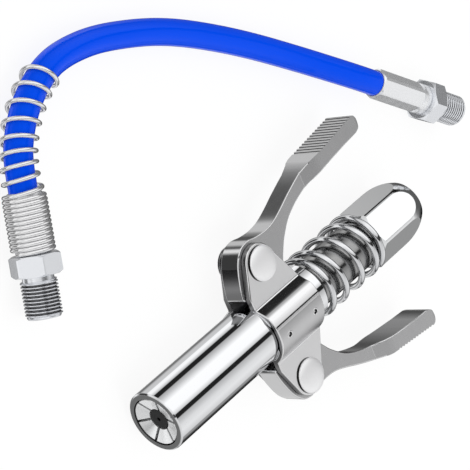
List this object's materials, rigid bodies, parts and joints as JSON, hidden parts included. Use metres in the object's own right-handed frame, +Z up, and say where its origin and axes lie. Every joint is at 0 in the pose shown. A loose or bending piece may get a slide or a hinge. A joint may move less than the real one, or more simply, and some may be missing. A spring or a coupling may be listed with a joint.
{
  "type": "grease coupler with hose",
  "caption": "Locking grease coupler: jaws in a sliding sleeve, opened by squeeze levers against a spring, with its separate whip hose and threaded ends.",
  "frame": {"origin": "centre of the coupler's box, at the bottom of the yoke's lower wrap, which lies on the ground", "axes": "+X along the coupler towards its nose, +Z up along the rivets, +Y towards the left lever"},
  "size_m": [0.1812, 0.135, 0.0212],
  "materials": {
    "bright_chrome": "polished",
    "bright_steel": "turned, satin",
    "satin_chrome": "satin chrome",
    "spring_wire": "zinc plated, semi-bright",
    "zinc_sheet": "nickel plated, bead-blasted satin",
    "rivet_chrome": "polished",
    "cast_lever": "nickel plated casting, satin",
    "jaw_steel": "ground, plated",
    "seal_rubber": "matt black",
    "plunger_brass": "turned",
    "hose_blue": "smooth, glossy blue",
    "ferrule_zinc": "zinc plated, crimped",
    "fitting_zinc": "zinc plated, machined",
    "guard_wire": "bright drawn wire"
  },
  "bodies": {
    "frame": {"sleeve": "bright_chrome", "yoke_plate_top": "zinc_sheet", "yoke_plate_bottom": "zinc_sheet", "left_rivet": "rivet_chrome", "right_rivet": "rivet_chrome", "hose_tube": "hose_blue", "near_ferrule": "ferrule_zinc", "near_nipple": "fitting_zinc", "spring_guard": "guard_wire", "far_ferrule": "ferrule_zinc", "far_nipple": "fitting_zinc"},
    "left_lever": {"left_lever": "cast_lever"},
    "right_lever": {"right_lever": "cast_lever"},
    "core": {"core_tube": "bright_steel", "rear_hex": "satin_chrome", "main_spring": "spring_wire", "plunger_spring": "spring_wire"},
    "plunger": {"seal_plunger": "plunger_brass", "seal": "seal_rubber", "plunger_o_ring": "seal_rubber"},
    "jaw_1": {"jaw_1": "jaw_steel"},
    "jaw_2": {"jaw_2": "jaw_steel"},
    "jaw_3": {"jaw_3": "jaw_steel"},
    "jaw_4": {"jaw_4": "jaw_steel"},
    "jaw_5": {"jaw_5": "jaw_steel"},
    "jaw_6": {"jaw_6": "jaw_steel"}
  },
  "joints": [
    {"name": "left_lever_hinge", "type": "hinge", "parent": "frame", "child": "left_lever", "pos_m": [0.0073, 0.0183, 0.0106], "axis": [0, 0, 1], "range_deg": [0, 18]},
    {"name": "right_lever_hinge", "type": "hinge", "parent": "frame", "child": "right_lever", "pos_m": [0.0073, -0.0183, 0.0106], "axis": [0, 0, -1], "range_deg": [0, 18]},
    {"name": "core_slide", "type": "slide", "parent": "frame", "child": "core", "axis": [1, 0, 0], "range_m": [0, 0.00372], "stiffness_N_per_m": 7800, "springref_m": -0.006, "deforming": ["main_spring"]},
    {"name": "plunger_slide", "type": "slide", "parent": "core", "child": "plunger", "axis": [-1, 0, 0], "range_m": [0, 0.002], "stiffness_N_per_m": 300, "springref_m": -0.001, "deforming": ["plunger_spring"]},
    {"name": "jaw_1_hinge", "type": "hinge", "parent": "core", "child": "jaw_1", "pos_m": [0.044, 0.0056, 0.0106], "axis": [0, 0, 1], "range_deg": [0, 3]},
    {"name": "jaw_2_hinge", "type": "hinge", "parent": "core", "child": "jaw_2", "pos_m": [0.044, 0.0028, 0.01545], "axis": [0, -0.866, 0.5], "range_deg": [0, 3]},
    {"name": "jaw_3_hinge", "type": "hinge", "parent": "core", "child": "jaw_3", "pos_m": [0.044, -0.0028, 0.01545], "axis": [0, -0.866, -0.5], "range_deg": [0, 3]},
    {"name": "jaw_4_hinge", "type": "hinge", "parent": "core", "child": "jaw_4", "pos_m": [0.044, -0.0056, 0.0106], "axis": [0, 0, -1], "range_deg": [0, 3]},
    {"name": "jaw_5_hinge", "type": "hinge", "parent": "core", "child": "jaw_5", "pos_m": [0.044, -0.0028, 0.00575], "axis": [0, 0.866, -0.5], "range_deg": [0, 3]},
    {"name": "jaw_6_hinge", "type": "hinge", "parent": "core", "child": "jaw_6", "pos_m": [0.044, 0.0028, 0.00575], "axis": [0, 0.866, 0.5], "range_deg": [0, 3]}
  ],
  "couplings": [
    {"joint": "left_lever_hinge", "follows": "core_slide", "rad_per_m": 84.39},
    {"joint": "right_lever_hinge", "follows": "core_slide", "rad_per_m": 84.39},
    {"joint": "jaw_1_hinge", "follows": "core_slide", "rad_per_m": 14.06},
    {"joint": "jaw_2_hinge", "follows": "core_slide", "rad_per_m": 14.06},
    {"joint": "jaw_3_hinge", "follows": "core_slide", "rad_per_m": 14.06},
    {"joint": "jaw_4_hinge", "follows": "core_slide", "rad_per_m": 14.06},
    {"joint": "jaw_5_hinge", "follows": "core_slide", "rad_per_m": 14.06},
    {"joint": "jaw_6_hinge", "follows": "core_slide", "rad_per_m": 14.06}
  ]
}
